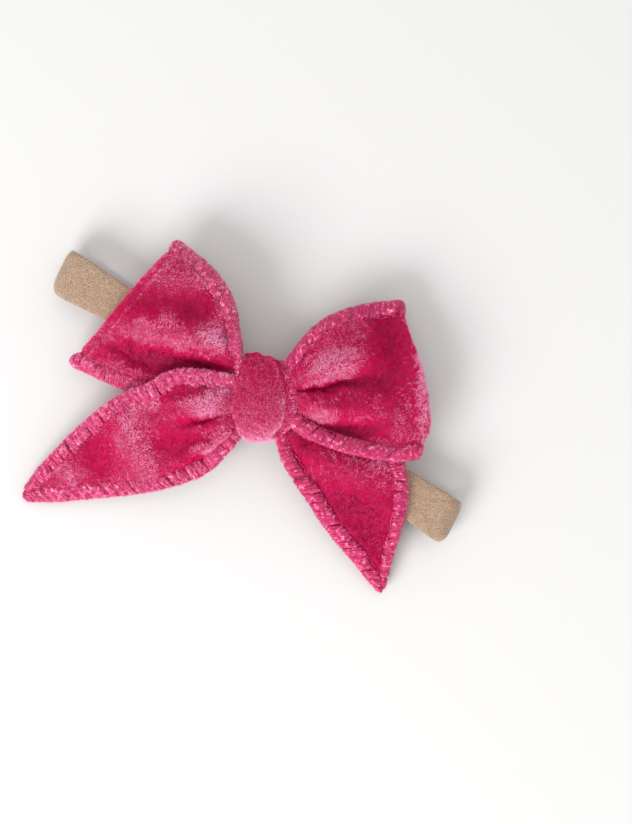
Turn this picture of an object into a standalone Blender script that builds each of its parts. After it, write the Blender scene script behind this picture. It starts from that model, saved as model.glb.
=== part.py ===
"""Velvet bow on a soft nylon headband.

A strip of velvet with overlocked edges is folded into two loops and two pointed tails and cinched with
thread. A narrow velvet wrap, the knot, holds that pleated middle on the front run of a stretch nylon band.
The band lies flat: front run on top, back run on the table, a round fold at each end.

Units are metres. +X runs along the band, +Z faces out of the bow, and the table is z = 0. The origin is on
the back run's outer face, straight below the knot. The bow is drawn upright in its own plane and turned by
BOW_TURN over the band.
"""

import math

import bmesh
import bpy
import numpy as np
from mathutils import Matrix, Vector

MM = 0.001

# Driving dimensions, in millimetres and degrees.
BOW_TURN = 33.0
BAND_LEFT, BAND_RIGHT = -61.5, 56.8
BAND_THICK = 1.2
BAND_GAP = 7.3
BAND_HALF_END = 6.0
BAND_HALF_RUN = 5.0
BAND_HALF_IN_KNOT = 2.6
TAPER_NEAR, TAPER_FAR = 9.0, 20.0
CLOTH_THICK = 1.2
EDGING_RADIUS = 0.9
SEAM_GAP = 0.3
NARROWEST_ROW = 1.0
DRAPE_SLOPE = 0.5
BULGE_POWER = 1.4
KNOT_LEFT, KNOT_RIGHT = -7.0, 5.6
KNOT_WALL = 1.2
KNOT_ARCH, KNOT_SQUARENESS = 2.6, 9.0
WRAP_EDGING_RADIUS = 0.65
FLAP_THICK = 0.8
RING_TOP = 17.6
RING_CLEARANCE = 0.45
RING_HALF_LEFT, RING_HALF_RIGHT = 9.4, 8.1
RING_SEGMENTS = 40
CORE_LOW, CORE_HIGH = (-6.6, -6.4, 11.0), (5.2, 6.4, 15.9)
CORE_ROUNDING = 2.4
FLAP_LEFT, FLAP_RIGHT = -6.4, 5.0
FLAP_BOTTOM, FLAP_TOP = -3.0, 5.0
FLAP_ROUNDING = 0.25
THREAD_RADIUS = 0.3
COIL_TURNS = 3
COIL_PITCH = 0.85
STITCH_RADIUS = 0.25
STITCH_START = -5.4
STITCH_SLANT = 0.6
STITCH_PLACES = (-4.0, -0.7, 2.6)

# Heights that follow from them.
FRONT_RUN_BOTTOM = BAND_THICK + BAND_GAP
BAND_TOP = FRONT_RUN_BOTTOM + BAND_THICK
FOLD_OUTER = BAND_TOP / 2
FOLD_INNER = FOLD_OUTER - BAND_THICK
EDGING_INSET = EDGING_RADIUS + 3 * SEAM_GAP
RING_LOW = FRONT_RUN_BOTTOM - RING_CLEARANCE
RING_CENTRE_Z = (RING_LOW + RING_TOP) / 2
RING_HALF_Z = (RING_TOP - RING_LOW) / 2

# Colour, roughness.
VELVET = ("velvet", (0.62, 0.02, 0.17), 0.75)
EDGING = ("edging", (0.70, 0.07, 0.25), 0.65)
THREAD = ("thread", (0.55, 0.03, 0.16), 0.6)
NYLON = ("nylon", (0.60, 0.42, 0.27), 0.8)


# ---------------------------------------------------------------- helpers

def clear_scene():
    for obj in list(bpy.data.objects):
        bpy.data.objects.remove(obj)


def new_collection(name):
    collection = bpy.data.collections.new(name)
    bpy.context.scene.collection.children.link(collection)
    return collection


def material(look):
    """A Principled material, made once for each look."""
    name, colour, roughness = look
    found = bpy.data.materials.get(name)
    if found:
        return found
    made = bpy.data.materials.new(name)
    made.use_nodes = True
    shader = made.node_tree.nodes["Principled BSDF"]
    shader.inputs["Base Color"].default_value = (*colour, 1.0)
    shader.inputs["Roughness"].default_value = roughness
    shader.inputs["Metallic"].default_value = 0.0
    return made


def add_object(name, data, look, pivot, parent):
    """An object from a mesh or curve drawn in its parent's frame. Its origin moves to pivot."""
    offset = Vector(pivot) * MM
    data.transform(Matrix.Translation(-offset))
    data.materials.append(material(look))
    obj = bpy.data.objects.new(name, data)
    obj.location = offset
    obj.parent = parent
    PART.objects.link(obj)
    return obj


def smooth_curve(points, count):
    """count points on the Catmull-Rom curve through the given points, evenly spread over its spans."""
    knots = np.array(points, float)
    before = 2 * knots[0] - knots[1]
    after = 2 * knots[-1] - knots[-2]
    padded = np.vstack([before, knots, after])
    found = []
    for where in np.linspace(0, len(knots) - 1, count):
        span = min(int(where), len(knots) - 2)
        t = where - span
        a, b, c, d = padded[span:span + 4]
        found.append(0.5 * (2 * b + (c - a) * t + (2 * a - 5 * b + 4 * c - d) * t**2
                            + (3 * b - a - 3 * c + d) * t**3))
    return np.array(found)


def cloth_sheet(name, rows, pivot, parent):
    """A panel of velvet: a grid bent through rows of points, given its thickness by Solidify."""
    rows = np.array(rows)
    mesh = bpy.data.meshes.new(name)
    grid = bmesh.new()
    bmesh.ops.create_grid(grid, x_segments=rows.shape[1] - 1, y_segments=rows.shape[0] - 1, size=0.5)
    grid.verts.ensure_lookup_table()
    for vertex, point in zip(grid.verts, rows.reshape(-1, 3)):
        vertex.co = Vector(point) * MM
    grid.to_mesh(mesh)
    grid.free()
    mesh.shade_smooth()
    obj = add_object(name, mesh, VELVET, pivot, parent)
    wall = obj.modifiers.new("cloth thickness", "SOLIDIFY")
    wall.thickness = CLOTH_THICK * MM
    wall.offset = 0.0
    return obj


def tube(name, points, radius, look, pivot, parent, closed=False):
    """A round cord through points: an overlocked edge or a thread."""
    curve = bpy.data.curves.new(name, "CURVE")
    curve.dimensions = "3D"
    curve.bevel_depth = radius * MM
    curve.bevel_resolution = 2
    curve.use_fill_caps = not closed
    spline = curve.splines.new("POLY")
    spline.points.add(len(points) - 1)
    spline.use_cyclic_u = closed
    for place, point in zip(spline.points, points):
        place.co = (*(Vector(point) * MM), 1.0)
    return add_object(name, curve, look, pivot, parent)


def flat_plate(name, outline, thickness, look, parent):
    """A filled 2D outline in the XY plane, centred on its thickness."""
    curve = bpy.data.curves.new(name, "CURVE")
    curve.dimensions = "2D"
    curve.fill_mode = "BOTH"
    curve.extrude = thickness / 2 * MM
    spline = curve.splines.new("POLY")
    spline.points.add(len(outline) - 1)
    spline.use_cyclic_u = True
    for place, (x, y) in zip(spline.points, outline):
        place.co = (x * MM, y * MM, 0.0, 1.0)
    return add_object(name, curve, look, (0, 0, 0), parent)


def rounded_block(name, low, high, corner, look, parent):
    """A box between two corners with its edges rounded."""
    low, high = np.array(low, float), np.array(high, float)
    mesh = bpy.data.meshes.new(name)
    cube = bmesh.new()
    bmesh.ops.create_cube(cube, size=1.0)
    for vertex in cube.verts:
        vertex.co = Vector((np.array(vertex.co) + 0.5) * (high - low) + low) * MM
    cube.to_mesh(mesh)
    cube.free()
    obj = add_object(name, mesh, look, (low + high) / 2, parent)
    rounding = obj.modifiers.new("rounding", "BEVEL")
    rounding.width = corner * MM
    rounding.segments = 3
    return obj


def pivot_frame(name, place, parent):
    empty = bpy.data.objects.new(name, None)
    empty.location = Vector(place) * MM
    empty.parent = parent
    PART.objects.link(empty)
    return empty


# ---------------------------------------------------------------- headband

def band_outline(half_in_middle):
    """Plan of one run of the band, which narrows towards the bow."""
    start = BAND_LEFT + FOLD_OUTER + SEAM_GAP / 2
    end = BAND_RIGHT - FOLD_OUTER - SEAM_GAP / 2
    half_widths = [
        (start, BAND_HALF_END),
        (start + TAPER_NEAR, BAND_HALF_END - 0.5),
        (start + TAPER_FAR, BAND_HALF_RUN),
        (-TAPER_FAR, (BAND_HALF_RUN + half_in_middle) / 2),
        (-TAPER_NEAR, half_in_middle),
        (TAPER_NEAR, half_in_middle),
        (TAPER_FAR, (BAND_HALF_RUN + half_in_middle) / 2),
        (end - TAPER_FAR, BAND_HALF_RUN),
        (end - TAPER_NEAR, BAND_HALF_END - 0.5),
        (end, BAND_HALF_END),
    ]
    upper = smooth_curve(half_widths, 28)
    lower = upper[::-1] * [1, -1]
    return np.vstack([lower, upper])


def make_band():
    front = flat_plate("band_front_run", band_outline(BAND_HALF_IN_KNOT), BAND_THICK, NYLON, None)
    front.location.z = (FRONT_RUN_BOTTOM + BAND_THICK / 2) * MM
    back = flat_plate("band_back_run", band_outline(BAND_HALF_RUN), BAND_THICK, NYLON, None)
    back.location.z = BAND_THICK / 2 * MM
    for name, end, side in (("band_left_fold", BAND_LEFT, -1), ("band_right_fold", BAND_RIGHT, 1)):
        turns = np.linspace(-math.pi / 2, math.pi / 2, 17)
        arc = np.stack([side * np.cos(turns), np.sin(turns)], axis=1)
        fold = flat_plate(name, np.vstack([FOLD_OUTER * arc, FOLD_INNER * arc[::-1]]),
                          2 * BAND_HALF_END, NYLON, None)
        fold.location = ((end - side * FOLD_OUTER) * MM, 0, FOLD_OUTER * MM)
        fold.rotation_euler.x = math.pi / 2


# ---------------------------------------------------------------- knot

def knot_section(half_y, half_z, count):
    """The wrap's section across the knot: arched over the front, squarer against the band."""
    found = []
    for turn in np.linspace(0, 2 * math.pi, count, endpoint=False):
        power = 2 / (KNOT_ARCH if math.sin(turn) >= 0 else KNOT_SQUARENESS)
        y = half_y * math.copysign(abs(math.cos(turn)) ** power, math.cos(turn))
        z = half_z * math.copysign(abs(math.sin(turn)) ** power, math.sin(turn))
        found.append((y, RING_CENTRE_Z + z))
    return found


def make_wrap(bow):
    """The wrap: a sleeve round the bow's middle and the band, with its overlocked edge at the right mouth."""
    mesh = bpy.data.meshes.new("knot_wrap")
    sleeve = bmesh.new()
    bmesh.ops.create_cone(sleeve, cap_ends=False, segments=RING_SEGMENTS, radius1=1, radius2=1, depth=1)
    sides = ((KNOT_LEFT, RING_HALF_LEFT), (KNOT_RIGHT, RING_HALF_RIGHT))
    for vertex in sleeve.verts:
        x, half_y = sides[vertex.co.z > 0]
        turn = math.atan2(vertex.co.y, vertex.co.x) % (2 * math.pi)
        step = round(turn / (2 * math.pi) * RING_SEGMENTS) % RING_SEGMENTS
        y, z = knot_section(half_y, RING_HALF_Z, RING_SEGMENTS)[step]
        vertex.co = Vector((x, y, z)) * MM
    bmesh.ops.recalc_face_normals(sleeve, faces=sleeve.faces)
    sleeve.to_mesh(mesh)
    sleeve.free()
    wrap = add_object("knot_wrap", mesh, VELVET, (0, 0, RING_CENTRE_Z), bow)
    wall = wrap.modifiers.new("cloth thickness", "SOLIDIFY")
    wall.thickness = KNOT_WALL * MM
    wall.offset = 1.0

    middle = KNOT_WALL / 2
    edge_x = KNOT_RIGHT + SEAM_GAP + WRAP_EDGING_RADIUS
    edge = [(edge_x, y, z) for y, z in knot_section(RING_HALF_RIGHT + middle, RING_HALF_Z + middle, 32)]
    tube("knot_wrap_edging", edge, WRAP_EDGING_RADIUS, EDGING, (0, 0, RING_CENTRE_Z), bow, closed=True)


def make_gathers(bow):
    """The pleated middle of the bow inside the wrap, and the thread that is wound round it."""
    rounded_block("gathered_core", CORE_LOW, CORE_HIGH, CORE_ROUNDING, VELVET, bow)
    low, high = np.array(CORE_LOW), np.array(CORE_HIGH)
    half = (high - low) / 2 + THREAD_RADIUS + SEAM_GAP
    centre = (low + high) / 2
    coil = []
    for turn in np.linspace(0, 2 * math.pi * COIL_TURNS, 20 * COIL_TURNS + 1):
        y = half[1] * math.copysign(abs(math.cos(turn)) ** 0.5, math.cos(turn))
        z = half[2] * math.copysign(abs(math.sin(turn)) ** 0.5, math.sin(turn))
        coil.append((centre[0] + COIL_PITCH * (turn / (2 * math.pi) - COIL_TURNS / 2), y, centre[2] + z))
    tube("gather_thread", coil, THREAD_RADIUS, THREAD, tuple(centre), bow)


def make_closing(bow):
    """The wrap's overlapped end behind the band, and the stitches that close it."""
    top = RING_LOW - KNOT_WALL - SEAM_GAP
    rounded_block("knot_wrap_flap", (FLAP_LEFT, FLAP_BOTTOM, top - FLAP_THICK), (FLAP_RIGHT, FLAP_TOP, top),
                  FLAP_ROUNDING, VELVET, bow)
    height = top - STITCH_RADIUS
    stop = FLAP_BOTTOM - SEAM_GAP - STITCH_RADIUS
    for number, x in enumerate(STITCH_PLACES, start=1):
        ends = [(x, STITCH_START, height), (x + STITCH_SLANT, stop, height)]
        tube(f"wrap_stitch_{number}", ends, STITCH_RADIUS, THREAD, ends[0], bow)


# ---------------------------------------------------------------- loops and tails

def crown(v, skew):
    """How a panel bulges between its edges: 0 at both, 1 at the middle, which skew moves to one side."""
    return math.sin(math.pi * v**skew) ** BULGE_POWER


def over_band(point):
    """The lowest height that cloth can have here: it lies on the front run and slopes down beside it."""
    turn = math.radians(BOW_TURN)
    across = abs(point[0] * math.sin(turn) + point[1] * math.cos(turn))
    beside = max(0.0, across - BAND_HALF_END - 2 * EDGING_RADIUS)
    return BAND_TOP + EDGING_RADIUS + 2 * SEAM_GAP - DRAPE_SLOPE * beside


def lay_over_band(points):
    for point in points:
        point[2] = max(point[2], over_band(point))
    return points


def inset_point(edge, i, inward):
    """The panel's edge beside point i of an edging, square to the edging and on the side of inward."""
    tangent = edge[min(i + 1, len(edge) - 1)] - edge[max(i - 1, 0)]
    tangent = tangent / np.linalg.norm(tangent)
    square = inward - np.dot(inward, tangent) * tangent
    return edge[i] + EDGING_INSET * square / np.linalg.norm(square)


def panel_rows(upper, lower, rise, columns, skew=1.0, bulge=None):
    """Rows of points across a panel, from edge curve upper to edge curve lower, inset from the edging."""
    rows = []
    inward = lower.mean(axis=0) - upper.mean(axis=0)
    for i in range(len(upper)):
        start = inset_point(upper, i, inward)
        end = inset_point(lower, i, -inward)
        chord = lower[i] - upper[i]
        if np.dot(end - start, chord) < NARROWEST_ROW * np.linalg.norm(chord):
            continue
        row = []
        for v in np.linspace(0, 1, columns):
            point = start + v * (end - start)
            point[2] += rise[i] * crown(v, skew)
            if bulge is not None:
                point[:2] += bulge[i] * crown(v, 1.0)
            row.append(point)
        rows.append(lay_over_band(row))
    return rows


def make_tail(name, upper, lower, rise, edgings, pivot, bow):
    """A pointed tail: one panel between two overlocked edges."""
    count = 13
    a, b = smooth_curve(upper, count), smooth_curve(lower, count)
    lift = smooth_curve([[h] for h in rise], count)[:, 0]
    cloth_sheet(name, panel_rows(a, b, lift, 7), pivot, bow)
    for edge, points in zip(edgings, (a, b)):
        tube(edge, lay_over_band(points), EDGING_RADIUS, EDGING, pivot, bow)


def make_loop(name, upper, lower, back_z, rise, back_rise, skew, fold_bulge, edgings, pivot, bow):
    """A loop: the front panel runs out to the fold, turns under, and runs back to the knot."""
    count = 9
    front_a, front_b = smooth_curve(upper, count), smooth_curve(lower, count)
    heights = smooth_curve(back_z, count)
    back_a, back_b = front_a.copy(), front_b.copy()
    back_a[:, 2], back_b[:, 2] = heights[:, 0], heights[:, 1]
    front_lift = smooth_curve([[h] for h in rise], count)[:, 0]
    back_lift = smooth_curve([[h] for h in back_rise], count)[:, 0]

    outward = np.array(fold_bulge, float)
    reach = np.linalg.norm(outward)
    share = np.linspace(0, 1, count) ** 2
    turn_steps = np.linspace(0, math.pi, 7)[1:-1]
    edge_a, edge_b, lift = list(front_a), list(front_b), list(front_lift)
    bulge = list(share[:, None] * outward)
    out = np.array([*(outward / reach), 0.0])
    for turn in turn_steps:
        for edge, front, back in ((edge_a, front_a[-1], back_a[-1]), (edge_b, front_b[-1], back_b[-1])):
            half = (front[2] - back[2]) / 2
            point = (front + back) / 2 + out * half * math.sin(turn)
            point[2] += half * math.cos(turn)
            edge.append(point)
        mix = (1 - math.cos(turn)) / 2
        lift.append(front_lift[-1] * (1 - mix) + back_lift[-1] * mix)
        bulge.append(outward)
    edge_a += list(back_a[::-1])
    edge_b += list(back_b[::-1])
    lift += list(back_lift[::-1])
    bulge += list(share[::-1, None] * outward)
    edge_a, edge_b = np.array(edge_a), np.array(edge_b)
    cloth_sheet(name, panel_rows(edge_a, edge_b, lift, 9, skew, bulge), pivot, bow)
    for edge, points in zip(edgings, (edge_a, edge_b)):
        tube(edge, lay_over_band(points), EDGING_RADIUS, EDGING, pivot, bow)


# The cloth bends at the knot's two mouths. Each line runs along the bow's Y, above the inner ends it carries.
LEFT_PIVOT = (-7.6, 0.0, 18.2)
RIGHT_PIVOT = (8.0, 0.0, 17.4)


def make_wings(bow):
    """The two loops and the two tails. Points are (x, y, z) in the bow's plane, from the knot outwards."""
    make_loop(
        "left_loop",
        upper=[(-8.6, 8.6, 14.4), (-8.2, 14.0, 15.4), (-8.4, 20.5, 15.4), (-11.0, 27.5, 14.4),
               (-16.0, 33.5, 12.6), (-21.0, 37.5, 10.5)],
        lower=[(-8.4, 2.2, 13.2), (-12.0, 1.6, 12.6), (-19.0, 1.0, 12.0), (-28.0, 1.0, 11.2),
               (-37.0, 3.2, 10.2), (-45.5, 9.5, 9.0)],
        back_z=[(11.4, 10.8), (11.0, 10.0), (9.8, 9.0), (8.4, 7.6), (7.0, 6.2), (5.6, 5.0)],
        rise=[0.8, 2.0, 4.0, 5.8, 6.4, 6.6],
        back_rise=[0.4, 1.6, 3.0, 4.4, 5.6, 6.6],
        skew=0.75,
        fold_bulge=(-1.5, 1.3),
        edgings=("left_loop_top_edging", "left_loop_bottom_edging"),
        pivot=LEFT_PIVOT,
        bow=bow,
    )
    make_loop(
        "right_loop",
        upper=[(8.5, 7.6, 14.2), (11.0, 13.0, 14.6), (15.5, 17.8, 14.0), (21.5, 21.6, 12.6),
               (27.0, 23.2, 10.8), (32.0, 24.0, 9.0)],
        lower=[(8.5, -1.4, 16.2), (11.5, -5.0, 16.6), (15.5, -8.2, 16.8), (21.5, -11.2, 16.8),
               (28.5, -13.4, 16.6), (34.5, -14.3, 15.8)],
        back_z=[(11.9, 13.8), (11.0, 14.3), (9.6, 14.5), (7.8, 14.5), (6.0, 14.2), (4.4, 13.4)],
        rise=[0.8, 2.0, 3.0, 3.6, 3.6, 3.0],
        back_rise=[0.2, 0.4, 0.8, 1.0, 1.0, 1.0],
        skew=1.0,
        fold_bulge=(2.6, 0.3),
        edgings=("right_loop_top_edging", "right_loop_bottom_edging"),
        pivot=RIGHT_PIVOT,
        bow=bow,
    )
    make_tail(
        "left_tail",
        upper=[(-8.4, 5.0, 17.2), (-16.0, 7.3, 18.4), (-25.0, 6.0, 17.4), (-33.0, 1.8, 14.4),
               (-41.5, -5.0, 10.4), (-50.5, -13.6, 6.4), (-56.8, -20.4, 3.2), (-59.4, -23.0, 1.8)],
        lower=[(-8.0, -8.0, 13.0), (-13.5, -16.6, 10.5), (-21.5, -20.8, 8.4), (-29.0, -22.2, 6.8),
               (-37.0, -23.2, 5.2), (-46.0, -24.2, 3.4), (-54.5, -25.0, 1.9), (-58.6, -25.4, 1.4)],
        rise=[0.4, 2.2, 3.0, 3.4, 3.0, 2.0, 0.8, 0.0],
        edgings=("left_tail_upper_edging", "left_tail_lower_edging"),
        pivot=LEFT_PIVOT,
        bow=bow,
    )
    make_tail(
        "right_tail",
        upper=[(9.4, -4.6, 11.4), (18.0, -7.0, 11.4), (28.0, -10.6, 11.3), (34.4, -19.0, 10.4),
               (34.2, -29.5, 7.6), (32.4, -39.5, 4.0), (30.4, -46.5, 1.5)],
        lower=[(5.8, -13.0, 10.6), (7.6, -20.0, 10.0), (11.8, -26.8, 8.4), (16.5, -33.2, 6.4),
               (21.3, -39.3, 4.2), (25.4, -43.8, 2.4), (27.6, -46.6, 1.5)],
        rise=[0.1, 0.4, 1.2, 2.0, 2.0, 1.0, 0.0],
        edgings=("right_tail_right_edging", "right_tail_left_edging"),
        pivot=RIGHT_PIVOT,
        bow=bow,
    )


clear_scene()
PART = new_collection("bow_headband")
bow_frame = pivot_frame("bow_frame", (0, 0, 0), None)
bow_frame.rotation_euler.z = math.radians(BOW_TURN)
make_band()
make_wrap(bow_frame)
make_gathers(bow_frame)
make_closing(bow_frame)
make_wings(bow_frame)
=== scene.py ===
"""Looks of the velvet bow on a nylon headband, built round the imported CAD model.

The bow is drawn in its own upright frame, in millimetres: x to the right, y up, z out of the front, with
the knot at the origin. to_row() turns it over the band and into the CAD's metres. A piece of cloth is a
grid of points: rows run out from the knot, columns run from the upper edge to the lower one. The grid
carries its woven ground, its pile of single fibres, and the overlock stitches along its edges.
"""

import math

import bpy
import numpy as np
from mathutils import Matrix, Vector


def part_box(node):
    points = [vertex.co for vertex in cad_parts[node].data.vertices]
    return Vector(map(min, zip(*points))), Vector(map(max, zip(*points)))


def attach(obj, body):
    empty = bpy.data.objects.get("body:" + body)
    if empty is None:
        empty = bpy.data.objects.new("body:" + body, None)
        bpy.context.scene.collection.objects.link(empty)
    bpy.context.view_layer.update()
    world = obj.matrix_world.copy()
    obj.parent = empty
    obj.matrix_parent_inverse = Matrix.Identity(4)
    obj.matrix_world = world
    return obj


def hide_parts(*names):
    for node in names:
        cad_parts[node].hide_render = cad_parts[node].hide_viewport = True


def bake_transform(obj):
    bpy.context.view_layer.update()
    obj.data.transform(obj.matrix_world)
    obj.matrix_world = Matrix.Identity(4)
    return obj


MM = 0.001
BOW_TURN = math.radians(33)

# Millimetres, and shares
CLOTH_THICK = 0.5
KNOT_CLOTH_THICK = 0.9
CROWN_POWER = 1.3
FOLD_STRENGTH = 1.25
SOFT_BEND = 0.5
BAND_SIDE_SLOPE = 0.55

# Fibres to the square millimetre
FRONT_PILE_DENSITY = 32.0
BACK_PILE_DENSITY = 9.0
KNOT_PILE_DENSITY = 36.0
KNOT_BACK_PILE_DENSITY = 10.0
KNOT_EDGE_PILE_DENSITY = 30.0
WRAP_END_PILE_DENSITY = 12.0
THREAD_FLUFF_DENSITY = 20.0
NYLON_FLUFF_DENSITY = 3.0

# A fibre's lightness decides its shade: below the first limit the darkest, above the last the brightest
# The shades are shaded and lit copies of one colour, so a fibre's lightness is painted light and shade
SHADE_LIMITS = (-0.62, 0.46, 0.80)
CLUMP_SIZE = 0.55
FIBRE_ROOT_DEPTH = 0.1
LIGHT_SIDE = np.array([-0.65, -0.76, 0.0])

STITCH_PITCH = 2.4
STITCH_STRANDS = 5
STRAND_SPACING = 2.3 / STITCH_STRANDS
STITCH_SLANT = 1.5
SEAM_THREAD_RADIUS = 0.12
NEEDLE_DENT = 0.4
TUBE_SIDES = 7

KNOT_CENTRE = np.array([0.0, 0.5, 12.6])
KNOT_BACK_LEFT, KNOT_BACK_RIGHT = -5.0, 4.0
FAN_CENTRE = np.array([0.0, 0.0, 14.0])
RING_SQUARENESS = 2.5
BAND_HALF_WIDTH = 4.9
BAND_HALF_THICK = 0.58

NOISE_CELLS = 64
NOISE_SHIFT = 17.3

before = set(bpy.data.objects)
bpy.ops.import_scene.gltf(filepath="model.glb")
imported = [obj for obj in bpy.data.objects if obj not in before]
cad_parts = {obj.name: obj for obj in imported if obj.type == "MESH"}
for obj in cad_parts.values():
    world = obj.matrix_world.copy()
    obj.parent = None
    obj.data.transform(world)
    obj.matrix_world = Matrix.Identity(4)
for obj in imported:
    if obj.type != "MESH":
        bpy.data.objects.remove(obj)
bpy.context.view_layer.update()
FRONT_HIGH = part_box("band_front_run")[1].z / MM
BAND_HALF_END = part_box("band_left_fold")[1].y / MM
BAND_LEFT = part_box("band_left_fold")[0].x / MM
BAND_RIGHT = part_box("band_right_fold")[1].x / MM


# ---------------- vectors, curves and noise

def unit(vectors):
    return vectors / np.maximum(np.linalg.norm(vectors, axis=-1, keepdims=True), 1e-9)


def to_row(points):
    """Bow frame in millimetres to row frame in metres."""
    c, s = math.cos(BOW_TURN), math.sin(BOW_TURN)
    x, y, z = points[..., 0], points[..., 1], points[..., 2]
    return np.stack([c * x - s * y, s * x + c * y, z], axis=-1) * MM


def to_bow(points):
    """Row frame to bow frame, both in millimetres."""
    c, s = math.cos(BOW_TURN), math.sin(BOW_TURN)
    x, y, z = points[..., 0], points[..., 1], points[..., 2]
    return np.stack([c * x + s * y, c * y - s * x, z], axis=-1)


def across_band(points):
    """Distance of bow points from the band's middle line, in millimetres."""
    return np.abs(points[..., 0] * math.sin(BOW_TURN) + points[..., 1] * math.cos(BOW_TURN))


def smooth(points, count, measured=3):
    """count points of the smooth curve through points, evenly spaced by the length of its first columns."""
    knots = np.array(points, float)
    padded = np.vstack([2 * knots[0] - knots[1], knots, 2 * knots[-1] - knots[-2]])
    t = np.linspace(0, 1, 24, endpoint=False)[:, None]
    spans = [
        0.5 * (2 * b + (c - a) * t + (2 * a - 5 * b + 4 * c - d) * t**2 + (3 * b - a - 3 * c + d) * t**3)
        for a, b, c, d in zip(padded, padded[1:], padded[2:], padded[3:])
    ]
    dense = np.vstack([*spans, knots[-1:]])
    steps = np.linalg.norm(np.diff(dense[:, :measured], axis=0), axis=1)
    length = np.concatenate([[0], np.cumsum(steps)])
    at = np.linspace(0, length[-1], count)
    return np.stack([np.interp(at, length, column) for column in dense.T], axis=1)


def ramp(value, low, high):
    """0 below low, 1 above high, smooth between."""
    t = np.clip((value - low) / (high - low), 0, 1)
    return t * t * (3 - 2 * t)


def noise(points, size, seed):
    """Smooth noise from -1 to 1 over the first two coordinates, with features about size across."""
    lattice = np.random.default_rng(seed).uniform(-1, 1, (NOISE_CELLS, NOISE_CELLS))
    scaled = points[..., :2] / size + NOISE_SHIFT
    cell = np.floor(scaled).astype(int)
    t = scaled - cell
    t = t * t * (3 - 2 * t)
    x0, y0 = cell[..., 0] % NOISE_CELLS, cell[..., 1] % NOISE_CELLS
    x1, y1 = (x0 + 1) % NOISE_CELLS, (y0 + 1) % NOISE_CELLS
    near = lattice[x0, y0] * (1 - t[..., 0]) + lattice[x1, y0] * t[..., 0]
    far = lattice[x0, y1] * (1 - t[..., 0]) + lattice[x1, y1] * t[..., 0]
    return near * (1 - t[..., 1]) + far * t[..., 1]


def streaks(points, way, size, reach, seed):
    """Noise drawn out along way: its sum over a short line through each point, kept lively."""
    steps = np.linspace(-reach, reach, 7)
    return sum(noise(points + step * way, size, seed) for step in steps) / math.sqrt(2 * len(steps))


# ---------------- cloth grids

def patch(upper, lower, inner, outer):
    """The grid between four edge curves: upper and lower run out from the knot, the others join them."""
    u = np.linspace(0, 1, len(upper))[:, None, None]
    v = np.linspace(0, 1, len(inner))[None, :, None]
    along = (1 - v) * upper[:, None] + v * lower[:, None]
    across = (1 - u) * inner[None] + u * outer[None]
    corners = ((1 - u) * (1 - v) * upper[0] + (1 - u) * v * lower[0]
               + u * (1 - v) * upper[-1] + u * v * lower[-1])
    return along + across - corners


def wing_grid(rows, columns, upper, lower, inner, outer):
    """The grid between a wing's edges, each given by its points. inner and outer leave out the corners."""
    upper, lower = smooth(upper, rows), smooth(lower, rows)
    inner = smooth([upper[0], *inner, lower[0]], columns)
    outer = smooth([upper[-1], *outer, lower[-1]], columns)
    return patch(upper, lower, inner, outer)


def fold_lift(grid, folds):
    """Height of ridges and creases. A fold is (sharpness, points), a point is (x, y, height, width)."""
    flat = grid[..., :2].reshape(-1, 2)
    lift = np.zeros(len(flat))
    for sharpness, points in folds:
        line = smooth(points, 60, measured=2)
        gaps = np.linalg.norm(flat[:, None] - line[None, :, :2], axis=2)
        nearest = gaps.argmin(axis=1)
        away = gaps[np.arange(len(flat)), nearest]
        height, width = line[nearest, 2], np.maximum(line[nearest, 3], 0.2)
        lift += height * np.exp(-(away / width) ** sharpness)
    return lift.reshape(grid.shape[:2])


def spread(values, count):
    """values laid out evenly over count places."""
    return np.interp(np.linspace(0, 1, count), np.linspace(0, 1, len(values)), values)


def crown(rows, columns, rise, skew):
    """Bulge between the upper and lower edges: rise runs out along the rows, skew moves its top sideways."""
    v = np.linspace(0, 1, columns)
    return spread(rise, rows)[:, None] * np.sin(math.pi * v**skew)[None, :] ** CROWN_POWER


def relief(grid, rise, skew, folds, open_rows, tip_rows, seed):
    """Raises a wing's front by its bulge, its folds and a fine unevenness.

    The folds open over the first rows and fade over the last ones.
    """
    rows, columns = grid.shape[:2]
    number = np.arange(rows)
    fade = ramp(number, 0, open_rows)
    if tip_rows:
        fade = fade * ramp(rows - 1 - number, 0, tip_rows)
    grid[..., 2] += crown(rows, columns, rise, skew)
    grid[..., 2] += FOLD_STRENGTH * fold_lift(grid, folds) * fade[:, None]
    grid[..., 2] += 0.16 * noise(grid, 4.2, seed) + 0.07 * noise(grid, 1.7, seed + 1)


def keep_above(height, floor):
    """Lifts height to floor where it would sink below, with a soft bend between."""
    return floor + SOFT_BEND * np.logaddexp(0, (height - floor) / SOFT_BEND)


def band_floor(grid, clearance):
    """Lowest height over the band's front run, sloping off beside it."""
    return FRONT_HIGH + clearance - BAND_SIDE_SLOPE * np.maximum(0, across_band(grid) - BAND_HALF_END)


def grid_normals(grid):
    """Unit normals of a grid, facing up where its first rows lie."""
    normal = unit(np.cross(np.gradient(grid, axis=0), np.gradient(grid, axis=1)))
    return normal if normal[: len(normal) // 3, :, 2].mean() > 0 else -normal


def loop_strip(front, back, outwards, reach, turn_rows):
    """A loop's strip: the front out to the fold, round it, and the back in to the knot again."""
    top, bottom = front[-1], back[-1]
    middle, half = (top + bottom) / 2, (top - bottom) / 2
    angles = np.linspace(math.pi / 2, -math.pi / 2, turn_rows + 2)[1:-1, None, None]
    turn = middle + half * np.sin(angles) + reach * np.cos(angles) * outwards
    return np.concatenate([front, turn, back[::-1]])


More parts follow.
